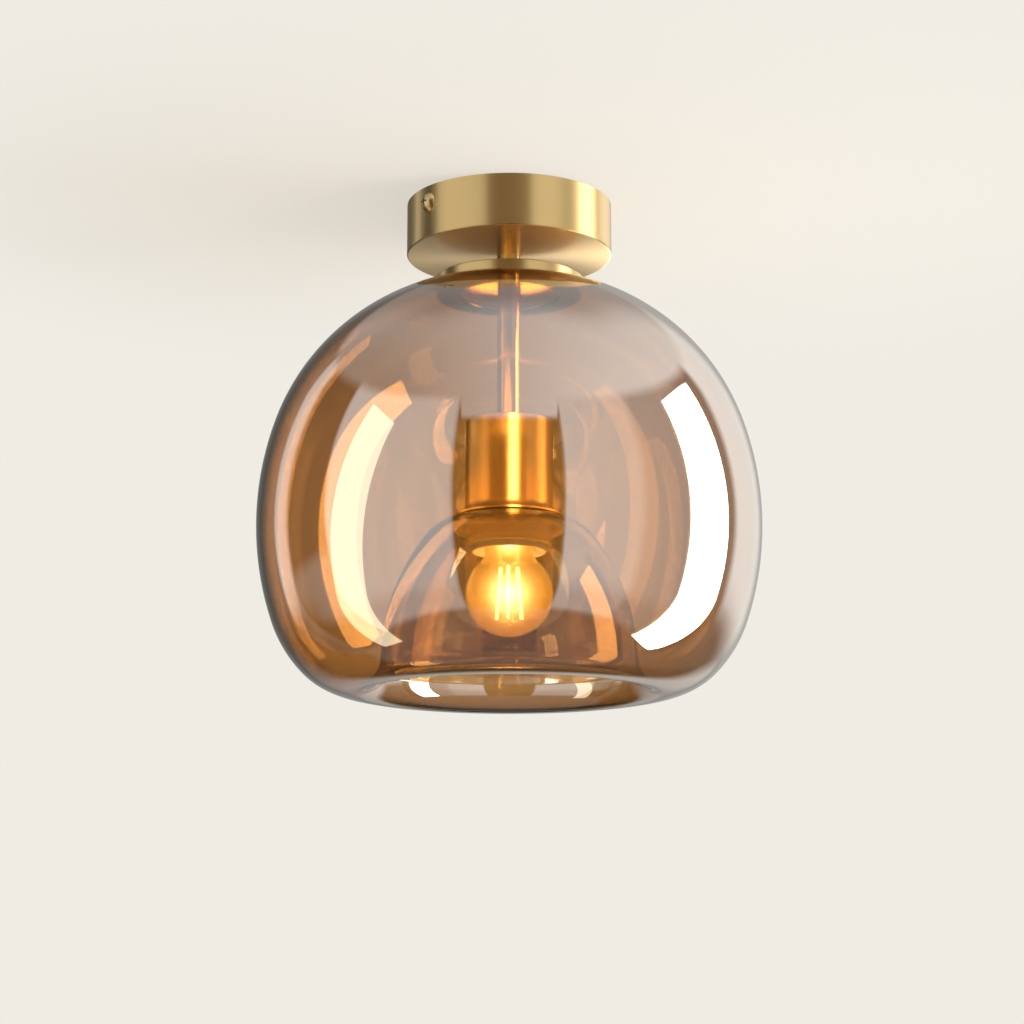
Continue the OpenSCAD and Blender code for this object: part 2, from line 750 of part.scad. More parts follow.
module bulb_shell() {
    crown_r = bulb_cap_r - shell_crown;
    inner_r = bulb_cap_r - bulb_shell_t;
    color("silver") rotate_extrude() polygon([
        [crown_r - crown_lip, bulb_shell_z], [crown_r, bulb_shell_z],
        [bulb_cap_r, bulb_shell_z - shell_crown], [bulb_cap_r, bulb_shell_low_z],
        [inner_r, bulb_shell_low_z], [inner_r, bulb_shell_z - shell_crown],
        [crown_r - crown_lip, bulb_shell_z - bulb_shell_t]
    ]);
}

// Glass envelope: globe, drawn-in neck, open end sealed by the mount
function bulb_face(t) =
    let (gap = bulb_r + neck_blend_r,
         c = [neck_r + neck_blend_r, bulb_z + sqrt(gap * gap
             - (neck_r + neck_blend_r) * (neck_r + neck_blend_r))],
         a = atan2(c[1] - bulb_z, c[0]))
    concat([[neck_r - t, neck_top_z], [neck_r - t, c[1]]],
        arc(c, neck_blend_r + t, 180, 180 + a),
        arc([0, bulb_z], bulb_r - t, a, -90));

module bulb_glass() {
    color("orange", 0.4)
        rotate_extrude() polygon(concat(bulb_face(0), back(bulb_face(bulb_wall))));
}

// Flared glass foot that carries the leads, with the centre post
module bulb_mount() {
    pinch_z = filament_top_z + pinch_gap;
    post_z = filament_low_z - post_reach;
    color("lightcyan", 0.5) rotate_extrude() polygon(concat(
        [[0, foot_z + foot_crown_h], [foot_crown_r, foot_z + foot_crown_h],
         [foot_r, foot_z + foot_edge_h], [foot_r, foot_z], [stem_foot_r, foot_z - stem_foot_h],
         [pinch_r, pinch_z], [post_r, pinch_z - stem_foot_h], [post_r, post_z + post_r]],
        arc([0, post_z + post_r], post_r, 0, -90)));
}

// A straight round bar from a to b
module bar(a, b, r) {
    v = b - a;
    translate(a) rotate([0, acos(v[2] / norm(v)), atan2(v[1], v[0])])
        cylinder(r = r, h = norm(v));
}

function filament_point(k, r, z) =
    let (a = k * 360 / filament_count + filament_turn) [r * cos(a), r * sin(a), z];

module bulb_filaments() {
    color("yellow") for (k = [0:filament_count - 1])
        bar(filament_point(k, filament_top_r, filament_top_z),
            filament_point(k, filament_low_r, filament_low_z), filament_d / 2);
}

// Leads from the foot to the filaments, and the spider that joins their lower ends
module filament_supports() {
    color("silver") for (k = [0:filament_count - 1]) {
        bar(filament_point(k, filament_top_r * lead_in, filament_top_z + lead_rise),
            filament_point(k, filament_top_r, filament_top_z + end_gap), lead_r);
        bar(filament_point(k, filament_low_r, filament_low_z - end_gap),
            filament_point(k, post_r, filament_low_z - spider_drop), lead_r);
    }
}

mounting_bracket();
earth_screw();
terminal_block();
terminal_tubes();
terminal_screws();
block_screw();
canopy();
canopy_screws();
threaded_rod();
canopy_washer();
canopy_nut();
earth_wire();
live_wire();
neutral_wire();
stem_spacer();
glass_cap();
cap_gasket();
stem_tube();
holder_cup();
cup_nut();
holder_cap();
holder_insert();
holder_terminals();
holder_sleeve();
thread_shell();
centre_contact();
upper_seal();
glass_shade();
lower_seal();
shade_ring();
bulb_contact();
bulb_insulator();
bulb_shell();
bulb_glass();
bulb_mount();
bulb_filaments();
filament_supports();
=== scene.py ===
import math

import bmesh
import bpy
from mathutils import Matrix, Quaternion, Vector


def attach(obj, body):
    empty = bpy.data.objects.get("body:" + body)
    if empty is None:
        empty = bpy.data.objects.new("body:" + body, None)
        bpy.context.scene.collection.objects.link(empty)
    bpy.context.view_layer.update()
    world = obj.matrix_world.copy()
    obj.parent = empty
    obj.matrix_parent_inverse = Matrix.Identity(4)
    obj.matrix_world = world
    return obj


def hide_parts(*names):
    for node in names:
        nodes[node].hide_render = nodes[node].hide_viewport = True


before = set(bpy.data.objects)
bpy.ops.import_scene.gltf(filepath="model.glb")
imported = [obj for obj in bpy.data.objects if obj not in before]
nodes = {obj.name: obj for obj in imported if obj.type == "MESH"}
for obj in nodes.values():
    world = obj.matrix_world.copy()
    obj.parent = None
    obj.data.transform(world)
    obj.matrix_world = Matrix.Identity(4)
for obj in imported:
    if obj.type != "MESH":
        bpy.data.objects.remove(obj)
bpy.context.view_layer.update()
scene = bpy.context.scene
scene.view_settings.view_transform = "Standard"

# Camera: just below the light and close to it, looking up at it with a long lens. Its
# place, turn and small shift were fitted to the round edges of canopy, cup, ring and globe.
camera_place = Vector((-0.776, -0.942, -0.418))
camera_data = bpy.data.cameras.new("photo_camera")
camera_data.lens = 84.8
camera_data.sensor_width = 36
camera_data.shift_x = 0.00195
camera = bpy.data.objects.new("photo_camera", camera_data)
camera.location = camera_place
camera.rotation_euler = (math.radians(101.71), 0, math.radians(-39.5))
scene.collection.objects.link(camera)
scene.camera = camera


# Room: a plain warm white behind the light. Anything thrown back by metal or glass shows
# the studio instead: pale walls at the sides, the dark corner where the camera stands, a
# dim ceiling and a dimmer floor. Bearings are from the camera's side, positive to its right.
class Value:
    """One socket of a shader; arithmetic on values adds Math nodes to its tree."""

    def __init__(self, socket):
        self.socket = socket
        self.tree = socket.id_data

    def node(self, kind, settings=None, inputs=None, output=0):
        """Adds a node: its settings first, then the values or links of its sockets."""
        made = self.tree.nodes.new(kind)
        for name, setting in (settings or {}).items():
            if name == "stops":
                ramp = made.color_ramp
                while len(ramp.elements) < len(setting):
                    ramp.elements.new(1.0)
                for stop, (place, colour) in zip(ramp.elements, setting):
                    stop.position = place
                    stop.color = (*colour, 1)
            else:
                setattr(made, name, setting)
        for name, given in (inputs or {}).items():
            if isinstance(given, Value):
                self.tree.links.new(given.socket, made.inputs[name])
            else:
                made.inputs[name].default_value = given
        return Value(made.outputs[output])

    def other(self, output):
        """Another output of the node that this value comes from."""
        return Value(self.socket.node.outputs[output])

    def axes(self):
        """The three parts of a vector."""
        x = self.node("ShaderNodeSeparateXYZ", None, {0: self})
        return x, x.other("Y"), x.other("Z")

    def fade(self, start, end, low=0.0, high=1.0, soft=True):
        """low where this value is at start, high where it is at end, and a slope between."""
        return self.node(
            "ShaderNodeMapRange", {"interpolation_type": "SMOOTHSTEP" if soft else "LINEAR"},
            {"Value": self, "From Min": start, "From Max": end, "To Min": low, "To Max": high})

    def blend(self, first, second):
        """A colour: the first where this value is 0, the second where it is 1."""
        return self.node("ShaderNodeMix", {"data_type": "RGBA"},
                         {0: self, 6: (*first, 1), 7: (*second, 1)}, 2)

    def mix(self, first, second):
        """A shader: the first where this value is 0, the second where it is 1."""
        return self.node("ShaderNodeMixShader", None, {0: self, 1: first, 2: second})

    def maths(self, operation, *terms):
        return self.node("ShaderNodeMath", {"operation": operation}, dict(enumerate(terms)))

    def __add__(self, other):
        return self.maths("ADD", self, other)

    __radd__ = __add__

    def __mul__(self, other):
        return self.maths("MULTIPLY", self, other)

    __rmul__ = __mul__

    def __sub__(self, other):
        return self.maths("SUBTRACT", self, other)

    def __rsub__(self, other):
        return self.maths("SUBTRACT", other, self)

    def __truediv__(self, other):
        return self.maths("DIVIDE", self, other)

    def __pow__(self, other):
        return self.maths("POWER", self, other)


def close(surface, shader):
    """Joins a shader to the output that the surface socket belongs to."""
    surface.tree.links.new(shader.socket, surface.socket)


towards = Vector((camera_place.x, camera_place.y, 0)).normalized()
rightwards = Vector((-towards.y, towards.x, 0))
backdrop_colour = (0.87, 0.84, 0.77, 1)
world = bpy.data.worlds.new("studio")
world.use_nodes = True
world.node_tree.nodes.clear()
world_output = world.node_tree.nodes.new("ShaderNodeOutputWorld")
sky = Value(world_output.inputs["Surface"])
rays = sky.node("ShaderNodeLightPath")
mirrored = sky.maths("MINIMUM", rays.other("Glossy Depth"), 1.0)
diffused = rays.other("Is Diffuse Ray")
x, y, height = sky.node("ShaderNodeTexCoord", None, None, "Generated").axes()
across = x * rightwards.x + y * rightwards.y
ahead = x * towards.x + y * towards.y
bearing = sky.maths("ARCTAN2", across, ahead)
turned_away = sky.maths("ABSOLUTE", bearing)

# The walls' brightness all round, as bearing in degrees and level.
wall_stops = [
    (-180, 0.4), (-160, 0.15), (-150, 0.1), (-131, 0.15), (-129, 0.95), (-119, 0.75),
    (-116, 0.04), (-90, 0.04), (-88, 0.9), (-60, 0.85), (-26, 0.8), (-24, 0.02),
    (23, 0.02), (25, 0.95), (59, 0.85), (64, 0.55), (86, 0.5), (111, 0.2), (119, 0.25),
    (124, 1.5), (150, 1.2), (160, 0.6), (180, 0.4)]
walls = sky.node("ShaderNodeValToRGB", {
    "stops": [(0.5 + angle / 360, (level, level, level)) for angle, level in wall_stops]},
    {0: bearing / math.tau + 0.5})

# Masks, 1 inside their part of the room: the dark doorway that the camera stands in, the
# ceiling and the floor, the lower half of the back wall, and three low or high patches.
doorway = 1.0 - turned_away.fade(math.radians(23), math.radians(25), soft=False)
above = (height + doorway * 0.11).fade(0.61, 0.67)
below = height.fade(-0.70, -0.78)
on_wall = (1.0 - above) * (1.0 - below)
sunk_behind = turned_away.fade(math.radians(95), math.radians(125)) * height.fade(0.0, -0.32)
low_back = (height.fade(0.0, -0.2) * height.fade(-0.48, -0.30)
            * ahead.fade(-0.80, -0.93, soft=False) * across.fade(-0.3, 0.3, 0.25, soft=False))
low_left = height.fade(-0.02, -0.13) * across.fade(-0.80, -0.88, soft=False)
over_canopy = ahead.fade(0.1, -0.3) * sky.maths("ABSOLUTE", across).fade(0.5, 0.25)

# The ceiling grows brighter from left to right, and the walls are dimmer at their foot.
ceiling_level = across.fade(-0.7, 0.7, 0.36, 1.25, soft=False) * (1.0 - over_canopy * 0.5)
dado = height.fade(-0.35, -0.6, 1.0, 0.7)
walls = sky.maths("MAXIMUM", walls, low_left * 0.3) * dado * (1.0 - sunk_behind * 0.9)
wall_level = sky.maths("MAXIMUM", walls, low_back * 0.8) * on_wall
studio_level = wall_level + above * ceiling_level + below * 0.12
daylight = sky.node("ShaderNodeBackground", None, {
    "Color": (0.93, 0.96, 0.95, 1), "Strength": studio_level})
far_room = sky.node("ShaderNodeBackground", None, {
    "Color": (0.105, 0.048, 0.003, 1), "Strength": 1.0})
studio = (doorway * on_wall).mix(daylight, far_room)

lit_sky = sky.node("ShaderNodeBackground", None, {
    "Color": (0.9, 0.88, 0.84, 1), "Strength": 0.6})
seen_sky = sky.node("ShaderNodeBackground", None, {"Color": backdrop_colour, "Strength": 1.0})
close(sky, mirrored.mix(diffused.mix(seen_sky, lit_sky), studio))
scene.world = world


# Ceiling: a painted disc with a hole over the canopy, which fades into the room's colour.
# It shows from below only, so that the light can also be looked at from above.
def blank_material(name):
    """A material with only its output; returns it and the surface socket."""
    material = bpy.data.materials.new(name)
    material.use_nodes = True
    material.node_tree.nodes.clear()
    output = material.node_tree.nodes.new("ShaderNodeOutputMaterial")
    return material, Value(output.inputs["Surface"])


hole_radius, ceiling_radius, clear_of_canopy = 0.0525, 6.0, 0.0004
ceiling_mesh = bmesh.new()
for radius in (hole_radius, 0.2, 0.5, 1.0, ceiling_radius):
    bmesh.ops.create_circle(ceiling_mesh, cap_ends=False, segments=96, radius=radius)
bmesh.ops.bridge_loops(ceiling_mesh, edges=ceiling_mesh.edges[:])
bmesh.ops.translate(ceiling_mesh, verts=ceiling_mesh.verts, vec=(0, 0, clear_of_canopy))
bmesh.ops.recalc_face_normals(ceiling_mesh, faces=ceiling_mesh.faces)
for face in ceiling_mesh.faces:
    if face.normal.z > 0:
        face.normal_flip()
ceiling_data = bpy.data.meshes.new("ceiling")
ceiling_mesh.to_mesh(ceiling_data)
ceiling_mesh.free()
ceiling = bpy.data.objects.new("ceiling", ceiling_data)
scene.collection.objects.link(ceiling)

paint, surface = blank_material("ceiling_paint")
place = surface.node("ShaderNodeTexCoord", None, None, "Object")
reach = surface.node("ShaderNodeVectorMath", {"operation": "LENGTH"}, {0: place}, "Value")
plaster = surface.node("ShaderNodeBsdfDiffuse", None, {"Color": (0.36, 0.35, 0.33, 1)})
fill = surface.node("ShaderNodeEmission", None, {"Color": backdrop_colour, "Strength": 0.62})
near = surface.node("ShaderNodeAddShader", None, {0: plaster, 1: fill})
far = surface.node("ShaderNodeEmission", None, {"Color": backdrop_colour, "Strength": 1.0})
painted = reach.fade(0.12, 0.42).mix(near, far)
open_air = surface.node("ShaderNodeBsdfTransparent")
from_above = surface.node("ShaderNodeNewGeometry", None, None, "Backfacing")
thrown_back = surface.node("ShaderNodeLightPath").other("Glossy Depth")
hidden = surface.maths("MINIMUM", from_above + thrown_back, 1.0)
close(surface, hidden.mix(painted, open_air))
ceiling_data.materials.append(paint)
ceiling.visible_glossy = False
ceiling.visible_shadow = False


# Lamps: two tall strip boxes stand beside the light, with a brightness of their own for the
# glass. Further lamps serve the canopy's underside and the ceiling alone.
def beside(bearing, distance, height):
    """The place at a bearing and a distance from the light's axis."""
    angle = math.radians(bearing)
    level = (towards * math.cos(angle) + rightwards * math.sin(angle)) * distance
    return level + Vector((0, 0, height))


def area_lamp(name, place, facing, width, tall, radiance, colour):
    """A lit rectangle that the camera doesn't see; facing is its turn."""
    lamp = bpy.data.lights.new(name, "AREA")
    lamp.shape = "RECTANGLE"
    lamp.size, lamp.size_y = width, tall
    lamp.energy = radiance * math.pi * width * tall
    lamp.color = colour
    box = bpy.data.objects.new(name, lamp)
    box.location = place
    box.rotation_euler = facing.to_euler()
    box.visible_camera = False
    scene.collection.objects.link(box)
    return box


def strip_box(name, bearing, distance, low, high, width, radiance, slant, colour):
    """An upright box from its low to its high end that faces the axis, slanted in degrees."""
    place = beside(bearing, distance, (high + low) / 2)
    upright = Vector((place.x, place.y, 0)).to_track_quat("Z", "Y")
    facing = upright @ Quaternion((0, 0, 1), math.radians(slant))
    return area_lamp(name, place, facing, width, high - low, radiance, colour)


def lit_by(name, pieces, *lamps):
    """Keeps the light of some lamps to some pieces; returns the pieces' collection."""
    lit = bpy.data.collections.new("lit_by_" + name)
    for piece in pieces:
        lit.objects.link(piece)
    for lamp in lamps:
        lamp.light_linking.receiver_collection = lit
    return lit


strip_box("right_strip", 98, 1.35, -1.8, 0.85, 0.64, 3.0, 4, (1.0, 0.99, 0.97))
left_strip = strip_box("left_strip", -80, 1.35, -2.3, 0.79, 0.42, 1.6, -17, (1.0, 0.86, 0.58))
right_glass_strip = strip_box(
    "right_glass_strip", 98, 1.36, -1.8, 0.85, 0.64, 5.0, 4, (1.0, 0.92, 0.78))
lit_by_glass_strips = lit_by("glass_strips", (), left_strip, right_glass_strip)

fan_strip = strip_box("canopy_fan_strip", 163, 1.35, -0.6, -0.2, 0.45, 7.0, 0, (1.0, 0.95, 0.85))
lit_by("fan_strip", [nodes["canopy"]], fan_strip)

# A soft lamp from the right front throws the canopy's shadow on the ceiling.
wash = strip_box("ceiling_wash", 75, 1.3, -0.9, -0.5, 0.4, 23, 0, (1.0, 0.98, 0.95))
lit_by("ceiling_wash", [ceiling], wash)

# The lamp in the bulb lights its leads and foot; the bulb's glass keeps most of it in.
lamp = bpy.data.lights.new("bulb_glow", "POINT")
lamp.energy = 15.0
lamp.color = (1.0, 0.88, 0.62)
lamp.shadow_soft_size = 0.006
glow = bpy.data.objects.new("bulb_glow", lamp)
glow.location = (0, 0, -0.2075)
glow.visible_camera = False
glow.visible_transmission = False
scene.collection.objects.link(glow)
lit_by("bulb", nodes.values(), glow)


# Echo lamps: the globe's inside throws the bulb's light back on the brass it holds: a bright
# line on cup and stem, and a fill that is deepest and warmest low on the cup.
def echo_lamp(name, lit, bearing, distance, height, width, tall, radiance, colour, aim=None):
    """A lamp in the globe for the named pieces, level unless it aims at a height of the axis."""
    place = beside(bearing, distance, height)
    target = Vector((0, 0, height if aim is None else aim))
    facing = (place - target).to_track_quat("Z", "Y")
    echo = area_lamp(name, place, facing, width, tall, radiance, colour)
    echo.visible_transmission = False
    lit_by(name, [nodes[piece] for piece in lit], echo)
    return echo


ring_height = -0.17
echo_lamp("cup_line", ["holder_cup"], 10, 0.1, -0.13, 0.034, 0.11, 22, (1.0, 0.86, 0.6))
echo_lamp("ring_fill_front", ["shade_ring"], -8, 0.1, -0.2, 0.12, 0.03, 3.5, (1.0, 0.56, 0.1),
          aim=ring_height)
rim_light = echo_lamp("rim_light", ["shade_ring"], 0, 0, -0.235, 0.02, 0.02, 70,
                      (1.0, 0.68, 0.2), aim=ring_height)
rim_light.light_linking.blocker_collection = rim_light.light_linking.receiver_collection
for side, bearing in (("left", -82), ("right", 74)):
    echo_lamp("cup_fill_" + side, ["holder_cup"], bearing, 0.09, -0.12, 0.12, 0.055, 0.9,
              (0.45, 0.7, 1.0))
    echo_lamp("cup_low_fill_" + side, ["holder_cup"], bearing, 0.085, -0.155, 0.12, 0.035, 2.4,
              (1.0, 0.56, 0.12))
    echo_lamp("ring_fill_" + side, ["shade_ring"], bearing, 0.075, -0.185, 0.12, 0.04, 8.0,
              (1.0, 0.54, 0.09), aim=ring_height)
echo_lamp("stem_line", ["stem_tube"], 72, 0.06, -0.085, 0.014, 0.09, 9, (1.0, 0.85, 0.55))
echo_lamp("stem_fill", ["stem_tube"], -12, 0.08, -0.075, 0.13, 0.06, 2.2, (1.0, 0.66, 0.3))
echo_lamp("spacer_fill", ["stem_spacer"], -10, 0.05, -0.036, 0.07, 0.014, 3.4,
          (1.0, 0.66, 0.22))
echo_lamp("hole_fill", ["glass_cap", "threaded_rod"], 180, 0.08, -0.066, 0.15, 0.05, 12.0,
          (1.0, 0.62, 0.2), aim=-0.045)


# Canopy, glass cap, spacer and cup: brass sheet and tube, spun or turned, brushed round the
# axis on the lathe and lacquered. The canopy's bottom is turned in fine rings.
def lathe_brass(name, colour, deep, roughness, lines, lacquer):
    """lines is how close the brush's marks lie, and lacquer the weight of the clear coat."""
    material, surface = blank_material(name)
    place = surface.node("ShaderNodeTexCoord", None, None, "Object")
    x, y, z = place.axes()
    radius = (x * x + y * y) ** 0.5 + 1e-5
    around = surface.node("ShaderNodeCombineXYZ", None,
                          {0: x / radius * 1.6, 1: y / radius * 1.6, 2: radius * lines})
    brushing = surface.node("ShaderNodeTexNoise", {"noise_dimensions": "4D"},
                            {"Vector": around, "W": z * lines, "Scale": 1.0, "Detail": 4.0})
    cloud = surface.node("ShaderNodeTexNoise", None,
                         {"Vector": place, "Scale": 38.0, "Detail": 3.0})
    relief = surface.node("ShaderNodeBump", None,
                          {"Strength": 0.012, "Distance": 0.0002, "Height": brushing})
    close(surface, surface.node("ShaderNodeBsdfPrincipled", None, {
        "Base Color": (brushing * 0.2 + cloud * 0.3).blend(colour, deep), "Metallic": 1.0,
        "Roughness": brushing * 0.04 + (roughness - 0.02), "Normal": relief,
        "Anisotropic": 0.7, "Anisotropic Rotation": 0.25,
        "Coat Weight": lacquer, "Coat Roughness": 0.06, "Coat IOR": 1.45}))
    return material


def finish(material, *pieces):
    """Gives the pieces a material in all their slots."""
    for piece in pieces:
        for slot in nodes[piece].material_slots:
            slot.material = material


satin_brass = lathe_brass("satin_brass", (0.78, 0.54, 0.24), (0.64, 0.42, 0.16), 0.33, 1600, 0.2)
finish(satin_brass, "canopy", "glass_cap", "stem_spacer", "holder_cup")

# Stem tube: a length of the same brass tube, paler and with finer and smoother brushing;
# it stands between glass cap and cup and is clamped with them on the rod. Its paler colour
# is painted light: a lit copy of the brass for the light that falls on the stem in the globe.
stem_brass = lathe_brass("stem_brass", (0.84, 0.62, 0.38), (0.72, 0.50, 0.27), 0.2, 4000, 0.2)
finish(stem_brass, "stem_tube")

# Side screws, nuts, washer and contacts: turned brass, not lacquered. The side screws hold
# the canopy to the bracket, and the nuts hold canopy and cup on the rod.
turned_brass = lathe_brass("turned_brass", (0.80, 0.60, 0.30), (0.62, 0.42, 0.18), 0.3, 900, 0.0)
finish(turned_brass, "canopy_screws", "canopy_nut", "canopy_washer", "cup_nut",
       "holder_terminals", "centre_contact", "terminal_tubes")


# Bracket and steel screws: pressed strip and cut screws, zinc-plated, with the plating's
# faint bloom. The bracket goes on the ceiling and holds the canopy.
def plain_finish(name, colour, other, roughness, metallic, scale, relief, coat=0.0, pitch=0.0):
    """pitch is that of a rolled or cut thread round the light's axis, if the piece has one."""
    material, surface = blank_material(name)
    place = surface.node("ShaderNodeTexCoord", None, None, "Object")
    grain = surface.node("ShaderNodeTexNoise", None,
                         {"Vector": place, "Scale": scale, "Detail": 4.0})
    bloom = surface.node("ShaderNodeTexNoise", None,
                         {"Vector": place, "Scale": scale / 12, "Detail": 2.0})
    bump = surface.node("ShaderNodeBump", None,
                        {"Strength": relief, "Distance": 0.0002, "Height": grain})
    if pitch:
        x, y, z = place.axes()
        thread = surface.maths("SINE", surface.maths("ARCTAN2", y, x) + z * (math.tau / pitch))
        bump = surface.node("ShaderNodeBump", None, {
            "Strength": 0.8, "Distance": pitch / 5, "Height": thread * 0.5 + 0.5, "Normal": bump})
    close(surface, surface.node("ShaderNodeBsdfPrincipled", None, {
        "Base Color": bloom.blend(colour, other), "Metallic": metallic,
        "Roughness": grain * 0.14 + (roughness - 0.07), "Normal": bump,
        "Coat Weight": coat, "Coat Roughness": 0.1}))
    return material


plated_steel = plain_finish(
    "plated_steel", (0.72, 0.72, 0.70), (0.58, 0.59, 0.60), 0.32, 1.0, 2600, 0.1)
finish(plated_steel, "mounting_bracket", "earth_screw", "terminal_screws", "block_screw")

# Rod: hollow brass tube with a thread rolled along it, held in the canopy by its nut; it
# carries everything below. The same brass makes the holder's shell, with its coarse thread.
rod_pitch, bulb_pitch = 0.001, 0.00363
threaded_brass = ((0.80, 0.60, 0.30), (0.68, 0.48, 0.22), 0.3, 1.0, 1600, 0.05)
finish(plain_finish("rod_brass", *threaded_brass, pitch=rod_pitch), "threaded_rod")
finish(plain_finish("shell_brass", *threaded_brass, pitch=bulb_pitch), "thread_shell")

# Connector and wires: a moulded block of pale plastic, screwed on the bracket, and copper
# leads in extruded sleeves: earth green, live brown and neutral blue.
terminal_plastic = plain_finish(
    "terminal_plastic", (0.80, 0.77, 0.68), (0.76, 0.73, 0.64), 0.5, 0.0, 1800, 0.05)
finish(terminal_plastic, "terminal_block")
for lead, colour, other in (
        ("earth", (0.16, 0.36, 0.05), (0.14, 0.32, 0.04)),
        ("live", (0.16, 0.05, 0.02), (0.13, 0.04, 0.015)),
        ("neutral", (0.02, 0.09, 0.32), (0.02, 0.08, 0.28))):
    finish(plain_finish(lead + "_sleeve", colour, other, 0.4, 0.0, 900, 0.03), lead + "_wire")

# Gasket and seals: rings of soft silicone, clamped between the glass and what holds it: the
# gasket under the glass cap, the thin seals on both sides of the dome's edge.
gasket_silicone = plain_finish(
    "gasket_silicone", (0.42, 0.33, 0.24), (0.38, 0.30, 0.22), 0.5, 0.0, 1500, 0.05)
finish(gasket_silicone, "cap_gasket")
seal_silicone = plain_finish(
    "seal_silicone", (0.72, 0.66, 0.56), (0.68, 0.62, 0.52), 0.45, 0.0, 1500, 0.04)
finish(seal_silicone, "upper_seal", "lower_seal")

# Lampholder: cap and sleeve moulded in heat-proof plastic, screwed together on the rod's
# end round an insert of glazed ceramic.
holder_plastic = plain_finish(
    "holder_plastic", (0.78, 0.70, 0.56), (0.74, 0.66, 0.52), 0.38, 0.0, 1500, 0.04)
finish(holder_plastic, "holder_cap", "holder_sleeve")
ceramic = plain_finish(
    "ceramic", (0.84, 0.83, 0.79), (0.80, 0.79, 0.75), 0.18, 0.0, 700, 0.03, coat=0.3)
finish(ceramic, "holder_insert")

# Bulb's cap and leads: a nickelled shell with a rolled thread, a nickelled tip in a bead of
# black glass, and drawn wire that is fused into the glass foot.
nickel = ((0.80, 0.79, 0.76), (0.70, 0.69, 0.66), 0.2, 1.0, 1400, 0.05)
finish(plain_finish("bulb_metal", *nickel), "bulb_contact")
finish(plain_finish("bulb_screw_cap", *nickel, pitch=bulb_pitch), "bulb_shell")
black_glass = plain_finish(
    "bulb_black_glass", (0.02, 0.02, 0.022), (0.03, 0.03, 0.03), 0.12, 0.0, 700, 0.02)
finish(black_glass, "bulb_insulator")
lead_wire = plain_finish(
    "lead_wire", (0.72, 0.68, 0.62), (0.60, 0.56, 0.50), 0.25, 1.0, 1400, 0.04)
finish(lead_wire, "filament_supports")


# Glass: blown soda glass, tinted right through, with a thin mirror coat that throws the
# strip boxes back. Its shadow is left open, so that light goes straight through it.
def blown_glass(name, tint, density, stain, mirror=0.0):
    """stain and mirror are values, or functions of the surface for values that vary."""
    material, surface = blank_material(name)
    clear = surface.node("ShaderNodeBsdfPrincipled", None, {
        "Base Color": stain(surface) if callable(stain) else (*stain, 1),
        "Roughness": 0.0, "IOR": 1.5, "Transmission Weight": 1.0})
    outside = 1.0 - surface.node("ShaderNodeNewGeometry", None, None, "Backfacing")
    polish = surface.node("ShaderNodeBsdfGlossy", None, {
        "Color": (1, 1, 1, 1), "Roughness": 0.02})
    coated = ((mirror(surface) if callable(mirror) else mirror) * outside).mix(clear, polish)
    open_way = surface.node("ShaderNodeBsdfTransparent", None, {"Color": (0.93, 0.93, 0.93, 1)})
    shadow = surface.node("ShaderNodeLightPath").other("Is Shadow Ray")
    close(surface, shadow.mix(coated, open_way))
    volume = surface.node("ShaderNodeVolumeAbsorption", None, {
        "Color": (*tint, 1), "Density": density})
    surface.tree.links.new(volume.socket, surface.socket.node.inputs["Volume"])
    return material, surface, coated


# Shade: the globe, the fold at its foot and the dome round the bulb are one wall, blown
# into a mould and pushed in from below; both holes are ground and fire-polished.
def arc(centre, radius, start, end, step=2.5):
    """Points of an arc after its first, as radius and height."""
    count = max(1, math.ceil(abs(end - start) / step))
    angles = [math.radians(start + (end - start) * i / count) for i in range(1, count + 1)]
    return [(centre[0] + radius * math.cos(a), centre[1] + radius * math.sin(a)) for a in angles]


def on(centre, radius, angle):
    """The one point of a circle at an angle."""
    return arc(centre, radius, angle, angle)[0]


def crossing(a, b, c, d, p, q):
    """Solves a x + b y = p and c x + d y = q."""
    det = a * d - b * c
    return (p * d - b * q) / det, (a * q - p * c) / det


def cosine(angle):
    return math.cos(math.radians(angle))


def sine(angle):
    return math.sin(math.radians(angle))


def turned(name, outline, steps, rim_angle=40):
    """A closed outline of radius and height, spun about the light's axis."""
    spun = bmesh.new()
    verts = [spun.verts.new((r, 0, z)) for r, z in outline]
    edges = [spun.edges.new((a, b)) for a, b in zip(verts, verts[1:] + verts[:1])]
    bmesh.ops.spin(spun, geom=verts + edges, cent=(0, 0, 0), axis=(0, 0, 1),
                   angle=math.tau, steps=steps, use_merge=True)
    bmesh.ops.remove_doubles(spun, verts=spun.verts, dist=1e-6)
    bmesh.ops.recalc_face_normals(spun, faces=spun.faces)
    for face in spun.faces:
        face.smooth = True
    data = bpy.data.meshes.new(name)
    spun.to_mesh(data)
    spun.free()
    data.set_sharp_from_angle(angle=math.radians(rim_angle))
    piece = bpy.data.objects.new(name, data)
    scene.collection.objects.link(piece)
    return piece


globe_radius, glass_wall, top_hole, dome_hole = 0.13, 0.0025, 0.02525, 0.0203
seat_high, foot_low, dome_top = -0.0456, -0.26, -0.1686
shoulder_angle, side_angle, haunch_angle, crown_angle, lean = 75, 19, -44, 38, 3
seat_radius, blend_radius, side_radius = 0.037, 0.018, 0.158
lip_radius, fold_radius, crown_reach, crown_radius = 0.078, 0.015, 0.024, 0.0245

